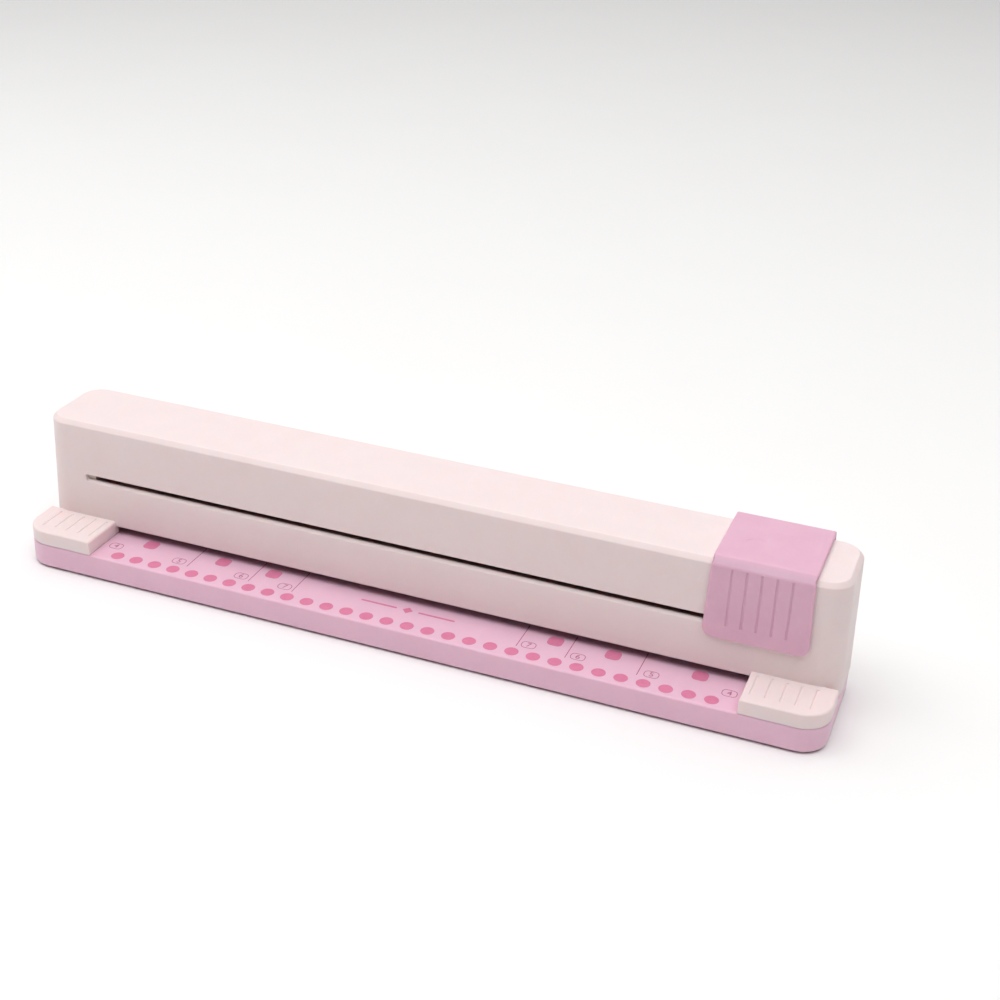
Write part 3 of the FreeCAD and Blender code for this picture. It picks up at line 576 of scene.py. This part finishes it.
def modelHousing():
    low, high = (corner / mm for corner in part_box("housing"))
    look, wall = housing, housing["wall"]
    shell = addBox("housingShell", (low.x, look["front"], low.z), (high.x, high.y, high.z))
    # the two ends lean in towards the top
    pickFaces(shell, lambda middle, normal: normal.z > facing)
    bpy.ops.transform.resize(value=(look["topLength"] / (high.x - low.x), 1, 1),
                             center_override=(0, (look["front"] + high.y) / 2 * mm, high.z * mm))
    bpy.ops.object.mode_set(mode="OBJECT")
    bevelEdges(shell, look["corner"], cornerSteps, upright)
    bevelEdges(shell, look["chamfer"], 1, lambda a, b: level(a, b, high.z))
    combine(shell, modelPads(low), "UNION")
    # hollow, and open below, behind the slot and in the throat
    cavity = addBox("cavity", (-look["cavityLength"] / 2, look["front"] + wall, low.z - past),
                    (look["cavityLength"] / 2, high.y - wall, high.z - wall))
    bevelEdges(cavity, look["corner"] - wall, insideSteps, upright)
    combine(shell, [cavity])
    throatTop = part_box("throat_spacer_left")[1].z / mm
    openings = [addBox("throat", (-look["padInner"], look["front"] - past, low.z - past),
                       (look["padInner"], look["front"] + wall + past, throatTop)), slotCutter()]
    for side in (-1, 1):
        ends = sorted((side * (look["padInner"] + wall), side * (look["padOuter"] - look["padCorner"])))
        openings.append(addBox("padHollow", (ends[0], look["padFront"] + wall, low.z - past),
                               (ends[1], look["front"] - wall / 2, look["padTop"] - wall)))
    combine(shell, openings)
    mergeClose(shell)
    soften(shell, look["edge"])
    # a row of grooves in the top of each pad
    cutters = []
    for side in (-1, 1):
        middle = side * ((look["padInner"] + look["padOuter"]) / 2 - groove["padShift"])
        cutters += grooveRow("padGroove", middle, look["padFront"] + groove["padStart"],
                             look["padFront"] + groove["padEnd"], look["padTop"], (2, 1))
    combine(shell, cutters)
    smooth(shell)
    finish(shell, "punch", "cream_plastic", "housing")
    print("housing modelled:", len(shell.data.polygons), "faces")


modelHousing()


# ---- the slider

slider = {"topLength": 41.8, "footLength": 44.2, "chamfer": 3.27, "corner": 4.5, "cornerSteps": 8,
          "edge": 0.75,
          "hollowFront": -9.8, "hollowTop": 65.95, "hollowRear": 30.3, "rearLip": 58.0, "lip": 0.35,
          "gripLow": 37.8, "gripHigh": 64.0,
          "tongueHalf": 10.2, "tongueRear": -1.6, "tongueLow": 37.7, "tongueHigh": 39.8,
          "tongueRoot": 0.5, "screwSpread": 6.0, "screwY": -4.2, "screwHole": 1.05, "screwSides": 24,
          "stampRound": 5.0, "stampY": 5.7, "stampShift": -6.7, "stampDeep": 0.06,
          "stampSides": 64}


def modelTongue(middle):
    # the tongue reaches in through the slot and takes the two cap screws
    look = slider
    front = look["hollowFront"] - look["tongueRoot"]
    tongue = addBox("sliderTongue", (middle - look["tongueHalf"], front, look["tongueLow"]),
                    (middle + look["tongueHalf"], look["tongueRear"], look["tongueHigh"]))
    low, high = look["tongueLow"] - past, look["tongueHigh"] + past
    holes = [addRod("screwHole", middle + side * look["screwSpread"], look["screwY"], low, high,
                    look["screwHole"], look["screwSides"]) for side in (-1, 1)]
    return combine(tongue, holes)


def modelSlider():
    low, high = (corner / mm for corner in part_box("slider_cap"))
    look, middle = slider, (low.x + high.x) / 2
    cap = addBox("sliderCap", (low.x, low.y, low.z), (high.x, high.y, high.z))
    pickFaces(cap, lambda at, normal: normal.z > facing)
    bpy.ops.transform.resize(value=(look["topLength"] / look["footLength"], 1, 1),
                             center_override=(middle * mm, (low.y + high.y) / 2 * mm, high.z * mm))
    bpy.ops.object.mode_set(mode="OBJECT")
    bevelEdges(cap, look["corner"], look["cornerSteps"], lambda a, b: level(a, b, low.z)
               and abs(a.y - b.y) > look["corner"])
    bevelEdges(cap, look["chamfer"], 1, lambda a, b: level(a, b, high.z)
               and max(a.y, b.y) < low.y + near)
    soften(cap, look["edge"], steps=edgeSteps)
    # hollow from end to end: it wraps the front, the top and the rear edge of the housing
    inside = addBox("sliderInside", (low.x - wellPast, look["hollowFront"], low.z - wellPast),
                    (high.x + wellPast, look["hollowRear"], look["hollowTop"]))
    combine(cap, [inside])
    behind = addBox("sliderBehind", (low.x - wellPast, look["hollowRear"] - 2 * past, low.z - wellPast),
                    (high.x + wellPast, high.y + wellPast, look["rearLip"]))
    combine(cap, [behind])
    soften(cap, look["lip"], steps=2, sharp=50)
    combine(cap, [modelTongue(middle)], "UNION")
    combine(cap, grooveRow("gripGroove", middle, look["gripLow"], look["gripHigh"], low.y, (1, -1)))
    # a faint round dimple, where the moulding was pushed from its tool
    stamp = addRod("stamp", middle + look["stampShift"], look["stampY"], high.z - look["stampDeep"],
                   high.z + past, look["stampRound"], look["stampSides"])
    combine(cap, [stamp])
    smooth(cap)
    finish(cap, "slider", "pink_slider", "slider_cap")
    print("slider modelled:", len(cap.data.polygons), "faces")


modelSlider()


# ---- the base moulding and its feet

base = {"corner": 12.0, "wall": 2.2, "deckThick": 2.2, "rim": 0.95,
        "seatRim": 2.0, "seatRear": 1.0, "seatLow": 9.1, "fit": 0.15,
        "windowHalf": 145.0, "windowDeep": 4.5,
        "mouthLow": 3.0, "mouthHigh": 9.1, "mouthFront": -9.3, "mouthRear": 14.3}
foot = {"round": 5.0, "edge": 0.7, "ring": 3.1, "ringWide": 0.5, "ringDeep": 0.35, "sides": 48}


def modelBase():
    low, high = (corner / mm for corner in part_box("base"))
    dieLow, dieHigh = (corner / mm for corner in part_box("die_plate"))
    look, wall, fit = base, base["wall"], base["fit"]
    body = addBox("baseMoulding", low, high)
    bevelEdges(body, look["corner"], cornerSteps, upright)
    cavity = addBox("baseCavity", (low.x + wall, low.y + wall, low.z - past),
                    (high.x - wall, high.y - wall, high.z - look["deckThick"]))
    bevelEdges(cavity, look["corner"] - wall, insideSteps, upright)
    combine(body, [cavity])
    soften(body, look["rim"], steps=5)
    # thicker under the dies, which lie flush in the deck over a window for the chips
    seat = addBox("dieSeat", (dieLow.x - look["seatRim"], dieLow.y - look["seatRim"], look["seatLow"]),
                  (dieHigh.x + look["seatRim"], dieHigh.y + look["seatRear"], high.z - wall / 2))
    combine(body, [seat], "UNION")
    recess = addBox("dieRecess", (dieLow.x - fit, dieLow.y - fit, dieLow.z),
                    (dieHigh.x + fit, dieHigh.y + fit, high.z + past))
    combine(body, [recess])
    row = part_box("punch_pin_01")
    rowY = (row[0].y + row[1].y) / 2 / mm
    windowLow = (-look["windowHalf"], rowY - look["windowDeep"], look["seatLow"] - past)
    windowHigh = (look["windowHalf"], rowY + look["windowDeep"], high.z + past)
    window = addBox("chipWindow", windowLow, windowHigh)
    mouth = addBox("trayMouth", (low.x - past, look["mouthFront"], look["mouthLow"]),
                   (low.x + wall + past, look["mouthRear"], look["mouthHigh"]))
    combine(body, [window, mouth])
    smooth(body)
    finish(body, "punch", "pink_base", "base")
    print("base modelled:", len(body.data.polygons), "faces")


def modelFeet():
    low, high = (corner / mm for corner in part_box("rubber_feet"))
    look = foot
    first = addRod("rubberFeet", 0, 0, low.z, high.z, look["round"], look["sides"])
    ringTop = low.z + look["ringDeep"]
    ring = addRod("footRing", 0, 0, low.z - past, ringTop, look["ring"], look["sides"])
    core = addRod("footCore", 0, 0, low.z - 2 * past, ringTop + past, look["ring"] - look["ringWide"],
                  look["sides"])
    combine(ring, [core])
    combine(first, [ring])
    bevelEdges(first, look["edge"], edgeSteps, lambda a, b: level(a, b, low.z)
               and min(math.hypot(a.x, a.y), math.hypot(b.x, b.y)) > look["round"] - near)
    smooth(first)
    feet = []
    for x in (low.x + look["round"], 0, high.x - look["round"]):
        for y in (low.y + look["round"], high.y - look["round"]):
            feet.append(copyAt(first, "rubberFeet", (x, y, 0)))
    bpy.data.objects.remove(first, do_unlink=True)
    feet = joined(feet)
    feet.name = feet.data.name = "rubberFeet"
    finish(feet, "punch", "foot_rubber", "rubber_feet")
    print("feet modelled")


modelBase()
modelFeet()


# ---- the coil springs under the pin heads

spring = {"wire": 0.3, "coil": 3.6, "turns": 6, "sides": 8, "steps": 20, "shade": 60,
          "pressed": 0.41}


def modelSprings():
    low, high = (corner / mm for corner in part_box("pin_springs"))
    look = spring
    deselectAll()
    start = (look["coil"] * mm, 0, (low.z + look["wire"]) * mm)
    bpy.ops.mesh.primitive_circle_add(vertices=look["sides"], radius=look["wire"] * mm, location=start,
                                      fill_type="NOTHING", rotation=(math.radians(90), 0, 0))
    coil = placed("springCoil")
    bpy.ops.object.modifier_add(type="SCREW")
    step = coil.modifiers[-1]
    step.iterations, step.steps, step.render_steps = look["turns"], look["steps"], look["steps"]
    step.screw_offset = (high.z - low.z - 2 * look["wire"]) / look["turns"] * mm
    bpy.ops.object.modifier_apply(modifier=step.name)
    bpy.ops.object.mode_set(mode="EDIT")
    bpy.ops.mesh.select_all(action="SELECT")
    bpy.ops.mesh.fill_holes(sides=look["sides"])
    faceOutwards(coil)
    bpy.ops.object.shade_smooth_by_angle(angle=math.radians(look["shade"]))
    pins = sorted(name for name in nodes if name.startswith("punch_pin_"))
    for name in pins:
        pinLow, pinHigh = (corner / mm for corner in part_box(name))
        x, y = (pinLow.x + pinHigh.x) / 2, (pinLow.y + pinHigh.y) / 2
        number = name[-2:]
        twin = copyAt(coil, "springCoil" + number, (x, y, 0))
        finish(twin, "punch", "spring_copper", "pin_springs")
        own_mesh(twin)
    bpy.data.objects.remove(coil, do_unlink=True)
    print("springs modelled:", len(pins))


modelSprings()


# ---- what is printed on the deck

marks = {"sunk": 0.05, "proud": 0.03, "cornerSteps": 6,
         "dotRound": 3.0, "dotY": -26.25, "pitch": 9.5, "dots": 30, "dotSides": 40,
         "squareX": (66.6, 92.0, 129.3), "squareY": -11.4, "squareWide": 6.7, "squareDeep": 7.0,
         "squareCorner": 2.2,
         "tickX": (52.5, 74.0, 105.0), "tickWide": 0.35, "tickEnd": -21.5, "tickStart": -4.0,
         "labels": {4: (-143.3, 143.3), 5: (-110.5, 110.6), 6: (-78.9, 78.9), 7: (-57.2, 57.2)},
         "labelY": -18.8, "labelSize": 4.4, "ringWide": 6.4, "ringDeep": 4.9, "ringRound": 1.9,
         "ringLine": 0.3, "curveSteps": 4,
         "centreY": -14.6, "barInner": 5.0, "barOuter": 22.0, "barHigh": 1.1, "barRound": 0.495,
         "diamond": 2.4}


def deckHeight():
    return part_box("base")[1].z / mm


def plate(name, x, y, wide, deep, corner=0.0):
    # a print is a very thin plate around (x, y) that stands a little proud of the deck
    deck = deckHeight()
    piece = addBox(name, (x - wide / 2, y - deep / 2, deck - marks["sunk"]),
                   (x + wide / 2, y + deep / 2, deck + marks["proud"]))
    if corner:
        bevelEdges(piece, corner, marks["cornerSteps"],
                   lambda a, b: abs(a.x - b.x) + abs(a.y - b.y) < near)
    return piece


def roundPlate(name, y, radius, sides):
    deck = deckHeight()
    return addRod(name, 0, y, deck - marks["sunk"], deck + marks["proud"], radius, sides)


def addNumber(number, x):
    deselectAll()
    bpy.ops.object.text_add(location=(x * mm, marks["labelY"] * mm, deckHeight() * mm))
    text = bpy.context.object
    text.data.body, text.data.size = str(number), marks["labelSize"] * mm
    text.data.align_x, text.data.align_y = "CENTER", "CENTER"
    text.data.extrude, text.data.resolution_u = marks["proud"] * mm, marks["curveSteps"]
    bpy.ops.object.convert(target="MESH")
    numeral = placed("printedNumber")
    mergeClose(numeral)
    faceOutwards(numeral)
    return numeral


def labelRing(x):
    look, line = marks, marks["ringLine"]
    deck = deckHeight()
    ring = plate("labelRing", x, look["labelY"], look["ringWide"], look["ringDeep"], look["ringRound"])
    halfWide, halfDeep = look["ringWide"] / 2 - line, look["ringDeep"] / 2 - line
    hole = addBox("labelHole", (x - halfWide, look["labelY"] - halfDeep, deck - past),
                  (x + halfWide, look["labelY"] + halfDeep, deck + past))
    bevelEdges(hole, look["ringRound"] - line, look["cornerSteps"], upright)
    return combine(ring, [hole])


def modelPrint():
    look = marks
    first = roundPlate("printedDots", look["dotY"], look["dotRound"], look["dotSides"])
    dots = [copyAt(first, "printedDots", ((n - (look["dots"] - 1) / 2) * look["pitch"], 0, 0))
            for n in range(look["dots"])]
    bpy.data.objects.remove(first, do_unlink=True)
    # the rounded squares, and the two bars and the diamond in the middle
    squares = [plate("printedSquares", side * x, look["squareY"], look["squareWide"], look["squareDeep"],
                     look["squareCorner"]) for x in look["squareX"] for side in (-1, 1)]
    barAt, barLong = (look["barInner"] + look["barOuter"]) / 2, look["barOuter"] - look["barInner"]
    squares += [plate("centreBar", side * barAt, look["centreY"], barLong, look["barHigh"],
                      look["barRound"]) for side in (-1, 1)]
    squares.append(roundPlate("centreMark", look["centreY"], look["diamond"], 4))
    # the ticks, and the framed numbers beside them
    tickY, tickLong = (look["tickStart"] + look["tickEnd"]) / 2, look["tickStart"] - look["tickEnd"]
    lines = [plate("printedLines", side * x, tickY, look["tickWide"], tickLong)
             for x in look["tickX"] for side in (-1, 1)]
    for number, places in look["labels"].items():
        for x in places:
            lines += [labelRing(x), addNumber(number, x)]
    for name, pieces, ink in (("printedDots", dots, "ink_pink"), ("printedSquares", squares, "ink_pink"),
                              ("printedLines", lines, "ink_line")):
        piece = joined(pieces)
        piece.name = piece.data.name = name
        finish(piece, "punch", "pink_base", finishName=ink)
    print("print on the deck modelled")


modelPrint()
